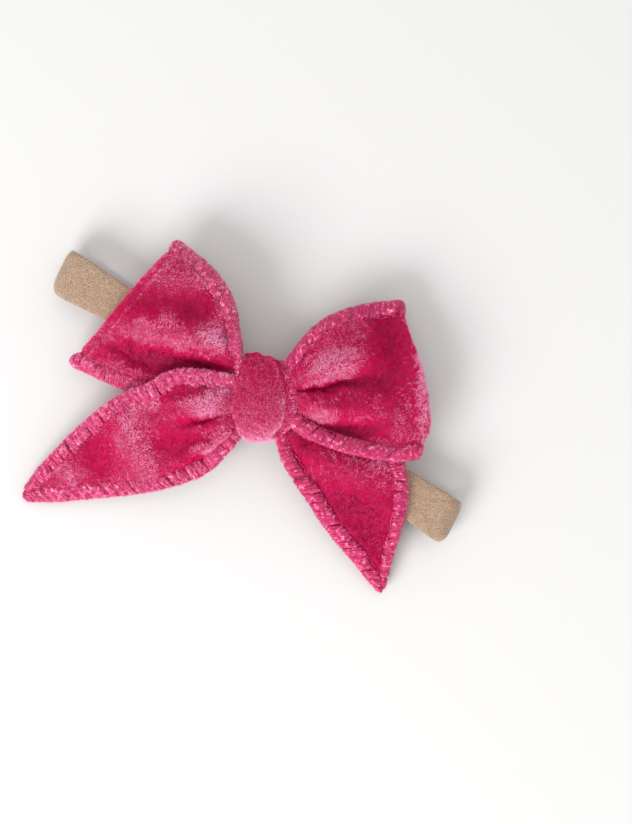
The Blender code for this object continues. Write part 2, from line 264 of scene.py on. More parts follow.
def blobs(grid, spots, seed):
    """Sum of patches with ragged edges. A spot is (x, y, radius along x, radius along y, amount)."""
    ragged = [
        grid[..., k] + 0.9 * noise(grid, 2.2, seed + k) + 0.5 * noise(grid, 0.9, seed + 2 + k)
        for k in (0, 1)
    ]
    total = np.zeros(grid.shape[:2])
    for x, y, wide, high, amount in spots:
        away = ((ragged[0] - x) / wide) ** 2 + ((ragged[1] - y) / high) ** 2
        total += amount * np.exp(-away**1.6)
    return total


def edge_distance(grid):
    """How far each point lies from the nearer long edge of its row."""
    steps = np.linalg.norm(np.diff(grid, axis=1), axis=2)
    along = np.concatenate([np.zeros((len(grid), 1)), np.cumsum(steps, axis=1)], axis=1)
    return np.minimum(along, along[:, -1:] - along)


# ---------------- mesh objects

def mesh_object(name, points, faces, materials, face_materials=None, smooth_shaded=True):
    """A mesh object from bow points and an array of faces that all have one number of corners."""
    mesh = bpy.data.meshes.new(name)
    mesh.vertices.add(len(points))
    mesh.vertices.foreach_set("co", to_row(points).astype(np.float32).ravel())
    corners = faces.shape[1]
    mesh.loops.add(faces.size)
    mesh.loops.foreach_set("vertex_index", faces.astype(np.int32).ravel())
    mesh.polygons.add(len(faces))
    mesh.polygons.foreach_set("loop_start", np.arange(0, faces.size, corners, dtype=np.int32))
    for material in materials:
        mesh.materials.append(material)
    if face_materials is not None:
        mesh.polygons.foreach_set("material_index", face_materials.astype(np.int32))
    mesh.update(calc_edges=True)
    if smooth_shaded:
        mesh.shade_smooth()
    else:
        mesh.shade_flat()
    obj = bpy.data.objects.new(name, mesh)
    bpy.context.scene.collection.objects.link(obj)
    return obj


def grid_faces(rows, columns, closed=False):
    """Four-cornered faces of a grid, row by row. A closed grid joins its last row to its first."""
    i, j = np.meshgrid(np.arange(rows if closed else rows - 1), np.arange(columns - 1), indexing="ij")
    after = (i + 1) % rows
    ring = [i * columns + j, after * columns + j, after * columns + j + 1, i * columns + j + 1]
    return np.stack(ring, axis=-1).reshape(-1, 4)


def facing(points, faces, normals):
    """faces turned so that they look along the normals."""
    a, b, c = (points[faces[:, k]] for k in (0, 1, 2))
    agree = (np.cross(b - a, c - a) * normals[faces[:, 0]]).sum(axis=1)
    return faces if agree.sum() > 0 else faces[:, ::-1]


def cloth(name, grid, normals, thick=CLOTH_THICK, closed=False):
    """The woven ground: the grid, given its thickness on the side away from the pile."""
    points = grid.reshape(-1, 3)
    faces = facing(points, grid_faces(*grid.shape[:2], closed), normals.reshape(-1, 3))
    obj = mesh_object(name, points, faces, [GROUND, BACKING])
    wall = obj.modifiers.new("cloth thickness", "SOLIDIFY")
    wall.thickness = thick * MM
    wall.offset = -1.0
    wall.material_offset = 1
    wall.material_offset_rim = 1
    return obj


# ---------------- pile

FIBRE_FACES = np.array([[0, 1, 3], [1, 2, 3], [2, 0, 3], [0, 2, 1]])


def scatter(points, faces, density, rng):
    """Random places on the faces: the numbers of three corners, and the share of each."""
    corners = np.concatenate([faces[:, [0, 1, 2]], faces[:, [0, 2, 3]]]) if faces.shape[1] == 4 else faces
    a, b, c = (points[corners[:, k]] for k in (0, 1, 2))
    thickness = np.broadcast_to(np.ravel(density), len(points))[corners].mean(axis=1)
    share = np.cumsum(np.linalg.norm(np.cross(b - a, c - a), axis=1) / 2 * thickness)
    count = int(share[-1])
    chosen = corners[np.minimum(np.searchsorted(share, rng.uniform(0, share[-1], count)), len(corners) - 1)]
    s, t = rng.uniform(0, 1, (2, count, 1))
    s, t = np.where(s + t > 1, 1 - s, s), np.where(s + t > 1, 1 - t, t)
    return chosen, (1 - s - t, s, t)


def spikes(root, up, way, reach, radius, rng):
    """Points of thin three-sided spikes, four to a fibre, rooted just under the cloth's face."""
    count = len(root)
    side = unit(np.cross(way, rng.normal(0, 1, (count, 3))))
    other = np.cross(way, side)
    base = root - FIBRE_ROOT_DEPTH * up
    thick = radius * rng.uniform(0.8, 1.2, (count, 1))
    foot = [base + thick * (math.cos(turn) * side + math.sin(turn) * other)
            for turn in (0, 2 * math.pi / 3, 4 * math.pi / 3)]
    tip = base + reach * rng.uniform(0.75, 1.15, (count, 1)) * way
    return np.stack([*foot, tip], axis=1).reshape(-1, 3)


def pile(name, points, faces, normals, seed, density, length, radius=0.052, lay=(0.0, 0.0, 0.0), bright=0.0,
         lean=0.7, jitter=0.26, clumps=0.22, shades=None):
    """Velvet pile: thin closed spikes rooted on the faces, density to the square millimetre.

    They lean along lay, and bright paints light and shade: it moves a fibre to a lighter or darker copy of
    its colour. density, length, lay and bright are one value, or one for each point. clumps is how much
    neighbouring fibres lean together and are painted lighter or darker together, as sparkle.
    """
    rng = np.random.default_rng(seed)
    points = points.reshape(-1, 3)
    total = len(points)
    fields = np.concatenate([
        points,
        normals.reshape(-1, 3),
        np.broadcast_to(np.reshape(lay, (-1, 3)), (total, 3)),
        np.broadcast_to(np.reshape(bright, (-1, 1)), (total, 1)),
        np.broadcast_to(np.reshape(length, (-1, 1)), (total, 1)),
    ], axis=1)
    chosen, shares = scatter(points, faces, density, rng)
    at = sum(fields[chosen[:, k]] * shares[k] for k in (0, 1, 2))
    root, up, along, lighter, reach = at[:, :3], unit(at[:, 3:6]), at[:, 6:9], at[:, 9], at[:, 10:11]
    along = along - (along * up).sum(axis=1, keepdims=True) * up
    count = len(root)
    tuft = np.stack([streaks(root, along, CLUMP_SIZE, 0.8, seed + 5 + k) for k in (0, 1, 2)], axis=-1)
    way = unit(up + lean * along + jitter * rng.normal(0, 1, (count, 3)) + 1.6 * clumps * tuft)
    fibres = spikes(root, up, way, reach, radius, rng)
    fibre_faces = (np.arange(count)[:, None, None] * 4 + FIBRE_FACES).reshape(-1, 3)
    # Painted sparkle: clumps of fibres are painted lighter or darker together
    lighter = lighter + clumps * streaks(root, along, 0.7 * CLUMP_SIZE, 1.1, seed + 4)
    shade = np.repeat(np.digitize(rng.uniform(0, 1, count) + lighter, SHADE_LIMITS), len(FIBRE_FACES))
    return mesh_object(name, fibres, fibre_faces, shades or PILE_SHADES, shade, smooth_shaded=False)


# ---------------- threads

def tubes(paths, radius, side, flat=1.0):
    """Closed tubes along paths (count, steps, 3). side is each tube's wide direction, flat its thickness."""
    along = unit(np.gradient(paths, axis=1))
    side = unit(side - (side * along).sum(axis=2, keepdims=True) * along)
    up = np.cross(along, side)
    turns = np.linspace(0, 2 * math.pi, TUBE_SIDES, endpoint=False)
    count, steps = paths.shape[:2]
    taper = np.ones(steps)
    taper[0] = taper[-1] = 0.35
    size = (np.reshape(radius, (-1, 1)) * taper)[:, :, None, None]
    wide = size * np.cos(turns)[None, None, :, None]
    high = size * flat * np.sin(turns)[None, None, :, None]
    points = paths[:, :, None] + wide * side[:, :, None] + high * up[:, :, None]
    normals = unit(points - paths[:, :, None])
    one = tube_faces(steps)
    faces = (np.arange(count)[:, None, None] * steps * TUBE_SIDES + one).reshape(-1, 3)
    return points.reshape(-1, 3), faces, normals.reshape(-1, 3)


def tube_faces(steps):
    """Triangles of one closed tube: its wall, and a fan over each end."""
    k, r = np.meshgrid(np.arange(steps - 1), np.arange(TUBE_SIDES), indexing="ij")
    after = (r + 1) % TUBE_SIDES
    a, b = k * TUBE_SIDES + r, k * TUBE_SIDES + after
    c, d = b + TUBE_SIDES, a + TUBE_SIDES
    wall = np.concatenate([np.stack([a, b, c], -1).reshape(-1, 3), np.stack([a, c, d], -1).reshape(-1, 3)])
    near_fan = np.array([[0, r + 1, r] for r in range(1, TUBE_SIDES - 1)])
    far_fan = near_fan[:, ::-1] + (steps - 1) * TUBE_SIDES
    return np.concatenate([wall, near_fan, far_fan])


def join(parts):
    """One set of points and faces out of several tubes."""
    points, faces, first = [], [], 0
    for part_points, part_faces, _ in parts:
        points.append(part_points)
        faces.append(part_faces + first)
        first += len(part_points)
    return np.concatenate(points), np.concatenate(faces)


def stitch_profile(width):
    """Overlock thread's way round a cloth edge: (distance inwards, height over the cloth), top side first."""
    under = -CLOTH_THICK
    return np.array([
        (width, -0.3), (0.90 * width, 0.36), (0.60 * width, 0.74), (0.25 * width, 0.72), (-0.2, 0.40),
        (-0.36, -0.15), (-0.2, under - 0.36), (0.25 * width, under - 0.5), (0.6 * width, under - 0.4),
        (0.8 * width, under - 0.05),
    ])


class Edge:
    """One long edge of a grid. A place by it has a distance along it, one inwards from it, and a height."""

    def __init__(self, grid, normals, column, width):
        line = grid[:, column]
        inner_column = column + 6 if column == 0 else column - 6
        inward = unit(grid[:, inner_column] - line)
        room = np.linalg.norm(np.diff(grid, axis=1), axis=2).sum(axis=1)[:, None]
        self.length = np.linalg.norm(np.diff(line, axis=0), axis=1).sum()
        rows = np.concatenate([line, inward, normals[:, column], room], axis=1)
        even = smooth(rows, max(int(self.length / 0.1), 20))
        self.at = np.linspace(0, self.length, len(even))
        self.fields = (even[:, :3], unit(even[:, 3:6]), unit(even[:, 6:9]))
        self.room = even[:, 9]
        self.width = width

    def place(self, s, inwards, height):
        """Points of the bow frame. Where the cloth is narrow the stitches reach less far in."""
        s = np.clip(s, 0, self.length)
        line, inward, up = (np.stack([np.interp(s, self.at, field[:, k]) for k in (0, 1, 2)], axis=-1)
                            for field in self.fields)
        fit = np.minimum(1, 0.45 * np.interp(s, self.at, self.room) / self.width)
        inwards = np.where(inwards > 0, inwards * fit, inwards)
        return line + inward * inwards[..., None] + up * height[..., None]


def strand_ways(edge, slant, trim, rng):
    """Every strand's way round the edge: its places along it, inwards and up, a row to a strand."""
    span = edge.length - sum(trim)
    stitches = int(span / STITCH_PITCH)
    total = stitches * STITCH_STRANDS
    middles = trim[0] + (np.arange(stitches) + 0.5) * span / stitches + rng.normal(0, 0.16, stitches)
    offsets = (np.arange(STITCH_STRANDS) - (STITCH_STRANDS - 1) / 2) * STRAND_SPACING
    belly = np.tile(1 - 0.5 * offsets**2, stitches)[:, None]

    def for_strands(stitch_values):
        return np.repeat(stitch_values, STITCH_STRANDS)[:, None]

    fullness = for_strands(rng.normal(1, 0.16, stitches)) + rng.normal(0, 0.06, (total, 1))
    slants = slant * for_strands(rng.uniform(0.6, 1.4, stitches))
    reach = for_strands(rng.uniform(0.80, 1.12, stitches)) * rng.uniform(0.90, 1.06, (total, 1))
    starts = (middles[:, None] + offsets).reshape(-1, 1) + rng.normal(0, 0.05, (total, 1))
    inwards, height = smooth(stitch_profile(edge.width), 18).T
    sway = 0.12 * np.sin(np.linspace(0, 7, len(inwards)) + rng.uniform(0, 6.3, (total, 1)))
    s = starts + slants * inwards / edge.width + sway
    return s, inwards * reach, np.where(height > 0, height * belly * fullness, height)


def seam_lines(edge, trim):
    """The needle thread along the stitches' inner ends and the looper thread along the cloth's rim."""
    s = np.linspace(trim[0], edge.length - trim[1], int(edge.length / 0.25))[None]
    turn = s * math.pi / STITCH_PITCH
    needle = edge.place(s, edge.width + 0.1 + 0.12 * np.cos(2 * turn), -0.4 + 0.4 * np.abs(np.sin(turn)))
    looper = edge.place(s, -0.2 + 0.1 * np.cos(2 * turn), 0.05 + 0.3 * np.sin(2 * turn))
    return [tubes(path, SEAM_THREAD_RADIUS, np.broadcast_to([0.3, 0.5, 1.0], path.shape))
            for path in (needle, looper)]


def serging(name, grid, normals, column, width, seed, slant, radius=0.32, trim=(0, 0), bright=0.12):
    """Overlock stitches over one edge of a grid, and their fluff.

    slant is how far a stitch runs along the edge, and trim how much of each end it leaves bare. bright paints
    the fluff's light and shade: lighter fibres as painted glints, darker ones as painted shade.
    """
    rng = np.random.default_rng(seed)
    edge = Edge(grid, normals, column, width)
    s, inwards, height = strand_ways(edge, slant, trim, rng)
    strands = edge.place(s, inwards, height)
    beside = edge.place(s + 0.3, inwards, height) - strands
    lobes = tubes(strands, radius * rng.uniform(0.75, 1.2, len(s)), beside, flat=0.9)
    thread = mesh_object(name, *join([lobes, *seam_lines(edge, trim)]), [THREAD])
    heart = edge.place(s, np.full(s.shape, 0.4 * width), np.full(s.shape, -CLOTH_THICK / 2))
    outward = np.repeat(unit(strands - heart).reshape(-1, 3), TUBE_SIDES, axis=0)
    density = THREAD_FLUFF_DENSITY * ramp((lobes[2] * outward).sum(axis=1), 0.1, 0.8)
    fluff = pile(name + "_fluff", *lobes, seed + 1, density, length=0.58, radius=0.045, bright=bright,
                 jitter=0.8, clumps=0.40, shades=THREAD_FLUFF)
    return thread, fluff


# ---------------- materials

def node_material(name, roughness=0.7, sheen=0.0, sheen_tint=(1, 1, 1), sheen_roughness=0.5, specular=0.3):
    material = bpy.data.materials.new(name)
    material.use_nodes = True
    shader = material.node_tree.nodes["Principled BSDF"]
    shader.inputs["Roughness"].default_value = roughness
    shader.inputs["Sheen Weight"].default_value = sheen
    shader.inputs["Sheen Tint"].default_value = (*sheen_tint, 1)
    shader.inputs["Sheen Roughness"].default_value = sheen_roughness
    shader.inputs["Specular IOR Level"].default_value = specular
    return material, shader


def fibre_material(name, colour, sheen, specular=0.3):
    material, shader = node_material(name, 0.6, sheen, (1.0, 0.62, 0.80), 0.4, specular)
    shader.inputs["Base Color"].default_value = (*colour, 1)
    return material


def noise_node(tree, scale, detail):
    """A noise texture laid in the object's own coordinates, at a scale to the metre."""
    place = tree.nodes.new("ShaderNodeTexCoord")
    cloud = tree.nodes.new("ShaderNodeTexNoise")
    cloud.inputs["Scale"].default_value = scale
    cloud.inputs["Detail"].default_value = detail
    tree.links.new(place.outputs["Object"], cloud.inputs["Vector"])
    return cloud.outputs["Fac"]


def mottled(name, stops, scale, bump, bump_scale, detail=4.0, **shader_values):
    """A material whose colour wanders between stops, (place, colour) each, with a fine bump."""
    material, shader = node_material(name, **shader_values)
    tree = material.node_tree
    colours = tree.nodes.new("ShaderNodeValToRGB")
    spots = colours.color_ramp.elements
    while len(spots) < len(stops):
        spots.new(0.5)
    for spot, (position, colour) in zip(spots, stops):
        spot.position = position
        spot.color = (*colour, 1)
    tree.links.new(noise_node(tree, scale, detail), colours.inputs["Fac"])
    tree.links.new(colours.outputs["Color"], shader.inputs["Base Color"])
    relief_node = tree.nodes.new("ShaderNodeBump")
    relief_node.inputs["Strength"].default_value = bump
    relief_node.inputs["Distance"].default_value = 0.15 * MM
    tree.links.new(noise_node(tree, bump_scale, 2.0), relief_node.inputs["Height"])
    tree.links.new(relief_node.outputs["Normal"], shader.inputs["Normal"])
    return material


# Darkest first. Each list holds shaded and lit copies of one colour, picked by random tone and, on the pile
# and the thread fluff, by painted light and shade
PILE_SHADES = [
    fibre_material("pile_shadow", (0.34, 0.0005, 0.045), 0.0, 0.05),
    fibre_material("pile_deep", (0.80, 0.0005, 0.135), 0.0, 0.12),
    fibre_material("pile_mid", (0.88, 0.024, 0.23), 0.25),
    fibre_material("pile_bright", (1.0, 0.43, 0.69), 1.0, 0.4),
]
THREAD_FLUFF = [
    fibre_material("fluff_shadow", (0.46, 0.006, 0.085), 0.0),
    fibre_material("fluff_deep", (0.65, 0.014, 0.13), 0.1),
    fibre_material("fluff_mid", (0.81, 0.05, 0.215), 0.4),
    fibre_material("fluff_bright", (1.0, 0.52, 0.70), 1.0),
]
NYLON_FLUFF = [
    fibre_material("nylon_fluff_shadow", (0.18, 0.11, 0.07), 0.0),
    fibre_material("nylon_fluff_deep", (0.24, 0.15, 0.095), 0.1),
    fibre_material("nylon_fluff_mid", (0.38, 0.26, 0.18), 0.2),
    fibre_material("nylon_fluff_light", (0.62, 0.48, 0.36), 0.3),
]
GROUND = mottled("velvet_ground", [(0.35, (0.30, 0.002, 0.05)), (0.65, (0.42, 0.004, 0.08))], 900,
                 bump=0.4, bump_scale=2500, roughness=0.8, sheen=0.3, sheen_tint=(1.0, 0.6, 0.75))
BACKING = mottled("velvet_backing", [(0.35, (0.46, 0.012, 0.12)), (0.65, (0.60, 0.03, 0.18))], 1400,
                  bump=0.6, bump_scale=3500, roughness=0.75, sheen=0.2)
NYLON = mottled("nylon_knit", [(0.36, (0.215, 0.130, 0.080)), (0.64, (0.50, 0.350, 0.245))], 4300,
                bump=0.8, bump_scale=3000, detail=2.0, roughness=0.65, sheen=0.25, sheen_tint=(1.0, 0.9, 0.8))
# The two darker stops are the thread's own tone; the lightest paints glint specks into it
THREAD = mottled("overlock_thread", [(0.38, (0.42, 0.006, 0.10)), (0.57, (0.62, 0.03, 0.165)),
                                     (0.72, (0.95, 0.42, 0.60))], 1100,
                 bump=0.5, bump_scale=5000, roughness=0.5, sheen=0.4, sheen_tint=(1.0, 0.8, 0.88))


# ---------------- wings of the bow

def nap_fields(grid, spots, seed):
    """Where the pile looks brighter, and which way it is brushed: bright pile leans away from the light."""
    patchy = 0.6 * noise(grid, 5.5, seed) + 0.4 * noise(grid, 2.4, seed + 1)
    # bright is random patches of tone plus the spots: painted highlights on ridges and painted shade in
    # hollows
    bright = 0.30 * patchy + blobs(grid, spots, seed + 3)
    turn = 2.2 * noise(grid, 7.0, seed + 2)
    wander = np.stack([np.cos(turn), np.sin(turn), np.zeros_like(turn)], axis=-1)
    lay = -LIGHT_SIDE * (0.45 * (0.3 + 3.0 * bright))[..., None] + 0.45 * wander
    out = grid - FAN_CENTRE
    near_knot = np.exp(-((np.linalg.norm(out[..., :2], axis=2) - 7.0) / 5.0) ** 2)[..., None]
    return bright, lay * (1 - near_knot) + 1.4 * near_knot * unit(out)


def wing_piles(name, grid, normals, away, spots, seed, back_row, fold_sheen_row):
    """A wing's pile, longer, brighter and brushed outwards near its edges, which are away from each point."""
    bright, lay = nap_fields(grid, spots, seed)
    edging = ramp(-away, -3.4, -0.8)
    # Painted light: the pile is painted lighter near the edges
    bright = bright + 0.20 * edging
    # Painted sheen along one row by the loop's fold
    if fold_sheen_row is not None:
        bright[fold_sheen_row] += 0.6
    outwards = unit(np.gradient(grid, axis=1)) * np.linspace(-1, 1, grid.shape[1])[None, :, None]
    lay = lay * (1 - 0.6 * edging[..., None]) + 1.1 * outwards * ramp(-away, -2.0, -0.2)[..., None]
    length = 0.74 + 0.25 * ramp(-away, -1.8, -0.2)
    faces = grid_faces(*grid.shape[:2])
    front_count = len(faces) if back_row is None else back_row * (grid.shape[1] - 1)
    parts = [("_pile", faces[:front_count], FRONT_PILE_DENSITY),
             ("_back_pile", faces[front_count:], BACK_PILE_DENSITY)]
    return [pile(name + ending, grid, part_faces, normals, seed, density, length, lay=lay, bright=bright)
            for ending, part_faces, density in parts if len(part_faces)]


def dress(name, grid, spots, widths, seed, back_row=None, fold_sheen_row=None, bare_start=0, thread_painted_light=0.12):
    """Cloth, pile and both serged edges of a wing.

    Rows from back_row on are a loop's back, with thinner pile, and a painted sheen lightens the pile along
    one row by the fold. bare_start is how much of the upper edge by the knot has no stitches. The last
    argument paints the stitches' fluff: lighter as painted glints, darker as painted shade.
    """
    away = edge_distance(grid)
    dent = NEEDLE_DENT * np.exp(-((away - sum(widths) / 2) / 0.5) ** 2)
    grid = grid - grid_normals(grid) * dent[..., None]
    normals = grid_normals(grid)
    ground = cloth(name + "_cloth", grid, normals)
    piles = wing_piles(name, grid, normals, away, spots, seed, back_row, fold_sheen_row)
    upper = serging(name + "_upper_serging", grid, normals, 0, widths[0], seed + 20, -STITCH_SLANT,
                    trim=(bare_start, 0), bright=thread_painted_light)
    lower = serging(name + "_lower_serging", grid, normals, -1, widths[1], seed + 19, STITCH_SLANT,
                    bright=thread_painted_light)
    return ground, piles, [*upper, *lower]


def back_of(front, upper, lower, rise, gap, seed):
    """A loop's back sheet under its front one: upper and lower are its edges' heights out from the knot."""
    rows, columns = front.shape[:2]
    v = np.linspace(0, 1, columns)[None, :]
    back = front.copy()
    back[..., 2] = (1 - v) * spread(upper, rows)[:, None] + v * spread(lower, rows)[:, None]
    back[..., 2] += crown(rows, columns, rise, 0.75)
    back[..., 2] += 0.4 * noise(back, 9.0, seed) + 0.15 * noise(back, 3.5, seed + 1)
    back[..., 2] = np.minimum(back[..., 2], front[..., 2] - gap)
    back[..., 2] = keep_above(back[..., 2], band_floor(back, 1.5))
    return back


def left_loop():
    columns, rows, turn_rows = 92, 104, 12
    upper = [(-4.4, 7.4, 15), (-6, 11.5, 15.6), (-6.6, 17, 16.2), (-8.3, 24.6, 15.6), (-12.9, 31.9, 13.6),
             (-20.6, 38.5, 11)]
    lower = [(-4.4, 2.4, 13.6), (-12, 1.8, 12.6), (-19, 1.3, 12), (-28, 1.3, 11.3), (-33.6, 2.4, 10.8),
             (-39, 4.6, 10.2), (-47.5, 8.6, 9)]
    outer = [(-27.3, 31.2, 10.8), (-34.2, 23.2, 10.4), (-40.6, 15.8, 9.8)]
    front = wing_grid(rows, columns, upper, lower, [(-4.4, 5, 14.6)], outer)
    folds = [
        (1.6, [(-7.5, 6.9, -1.2, 1.4), (-12, 7.4, -2.8, 1.9), (-18, 8, -4.4, 2.8), (-25.5, 8.8, -5.2, 3.2),
               (-32, 11.2, -3.6, 3), (-38.5, 14, -1, 2.8)]),
        (2, [(-8, 11.4, 0.6, 2.2), (-15, 14.6, 1.6, 3), (-22, 16.6, 2.1, 3.6), (-30, 18.6, 1.4, 4.2),
               (-38, 19.4, 0.1, 4)]),
        (2, [(-25, 3.9, 0.6, 2), (-33, 7, 1, 2.4), (-41, 10.4, 0.3, 2.8)]),
        (1.3, [(-6.4, 10.4, -1, 0.8), (-9.2, 15.5, -1, 1.2), (-12.6, 21, -0.3, 1.8)]),
        (1.8, [(-6.4, 13.6, 0.7, 1), (-8.2, 19, 0.8, 1.4), (-10.6, 25.5, 0.1, 2)]),
        (1.3, [(-7, 9, -0.6, 0.6), (-11, 11.4, -0.7, 0.9), (-15, 13, -0.1, 1.4)]),
        (2, [(-15, 22.4, -0.5, 3.6), (-23, 24.6, -1.2, 4.6), (-32, 25.6, -0.8, 4.6)]),
        (2, [(-14, 28.6, 0.3, 2.6), (-21, 30.4, 0.6, 3.2), (-28, 30, 0.1, 3.4)]),
    ]
    relief(front, (0.5, 2.2, 4.2, 5.8, 6.2, 6), 0.75, folds, 16, 0, 11)
    front[..., 2] = keep_above(front[..., 2], band_floor(front, 3.4))
    back = back_of(front, (12, 11.4, 10, 8.6, 7.2, 5.8), (11.4, 10.4, 9, 7.6, 6.4, 5.2),
                   (0.2, 1.4, 2.8, 4.2, 5.2, 6), 1.9, 13)
    grid = loop_strip(front, back, np.array([-0.757, 0.653, 0]), 1.5, turn_rows)
    # Painted light and shade: positive spots paint highlights on ridges, negative ones paint shade in valleys
    # and creases
    spots = [(-30, 17.4, 9, 2, 0.50), (-20, 14.6, 7, 2, 0.64), (-12, 14.6, 4.5, 3.4, 0.66),
             (-24, 28.4, 4.6, 3, 0.30), (-9.5, 24.5, 2.6, 5, 0.42), (-14.5, 31.5, 4, 3, 0.28),
             (-31, 24.6, 7, 4.6, -0.42), (-18, 23.2, 4.8, 3.8, -0.75), (-19, 8.2, 9, 2.2, -1.7),
             (-28, 10.4, 6, 2.2, -1.7), (-35, 12.8, 4, 1.6, -1.1), (-37, 6.4, 6, 2.4, 0.24),
             (-41, 15, 4, 4, -0.12)]
    return dress("left_loop", grid, spots, (4.2, 3.4), 31, back_row=rows + turn_rows, fold_sheen_row=rows - 3)


def right_loop():
    columns, rows, turn_rows = 96, 84, 12
    upper = [(4.4, 7.2, 14.2), (7, 11.4, 14.6), (11.6, 16.9, 14.8), (16, 20.2, 14), (21.6, 22.5, 12.6),
             (27.5, 23.8, 10.8), (32.3, 24.2, 9.4)]
    lower = [(4.4, -3, 15), (7.6, -7, 15.5), (12.2, -9.6, 16.8), (18, -11.8, 17.4), (25, -13.6, 17),
             (31, -14.5, 16.4), (36.4, -14.4, 15.6)]
    outer = [(34.2, 17, 9.9), (37.2, 8.5, 10.8), (39, 0, 12.2), (39.3, -7.5, 14)]
    front = wing_grid(rows, columns, upper, lower, [(4.4, 2, 15.8)], outer)
    folds = [
        (1.5, [(8, 1.9, -1.6, 0.8), (14.5, 3, -2.8, 1.2), (18.5, 4.5, -2.8, 1.5), (23.6, 5.6, -1.7, 2.2),
               (30, 5.4, -0.2, 3)]),
        (2, [(8.5, 4.4, 0.9, 1.4), (15, 7, 2, 2.4), (20.5, 9.6, 1.9, 3), (26, 11.6, 0.5, 3)]),
        (1.9, [(8.8, 0.2, 1, 1), (13, -1.4, 1.9, 1.7), (18.5, -2.4, 1.9, 2.6), (26, -2.4, 1.3, 4),
               (36, -2.5, 0.3, 4)]),
        (1.6, [(9, -3.6, -0.9, 0.9), (12.7, -6, -2.4, 1.6), (20, -7.2, -2.8, 2.4), (27, -8.8, -1.6, 3),
               (34, -10.2, -0.2, 3)]),
        (1.5, [(7.4, 8.2, -0.6, 0.7), (12, 11.6, -0.8, 1.2), (17, 14.6, -0.2, 1.8)]),
        (2, [(10, 13, 0.5, 1.4), (16, 17.4, 0.7, 2), (23, 20, 0.3, 2.2)]),
        (2, [(30, 18, -0.9, 3.4), (31.5, 11.7, -1.7, 4.4), (30.5, 6, -0.9, 4.2)]),
    ]
    relief(front, (0.5, 2, 3.2, 4, 4.2, 3.8), 0.75, folds, 12, 0, 21)
    back = back_of(front, (11.9, 11, 9.8, 8.2, 6.6, 5.4), (14, 14.4, 14.6, 14.6, 14.2, 13.4),
                   (0.2, 0.4, 0.8, 1, 1, 1), 1.7, 23)
    grid = loop_strip(front, back, np.array([0.98, 0.15, 0]), 1.5, turn_rows)
    # Painted light and shade: positive spots paint highlights on ridges and the fold, negative ones paint
    # shade in valleys and creases
    spots = [(15.5, 7.4, 5.4, 3, 0.40), (20.5, 10.4, 4.6, 3.6, 0.46), (11, 4.4, 3.4, 1.8, 0.32),
             (14, -3.6, 5, 1.6, 0.48), (24, -1.5, 8, 3, -0.22), (31.6, 12, 5.6, 10, -0.68),
             (22, -7.8, 8.5, 2.2, -1.7), (14, 2.4, 5, 0.9, -1.7), (20, 4, 4.5, 1.2, -1.7),
             (27, 4.4, 5, 2.6, -0.8), (39, 0, 1.5, 17, 0.60),
             (15, 14.6, 6, 3.2, 0.14), (34, -7, 4.5, 4.5, 0.16), (24, 17, 3, 4, 0.16)]
    return dress("right_loop", grid, spots, (3.6, 3.3), 41, back_row=rows + turn_rows, bare_start=2,
                 thread_painted_light=-0.42)


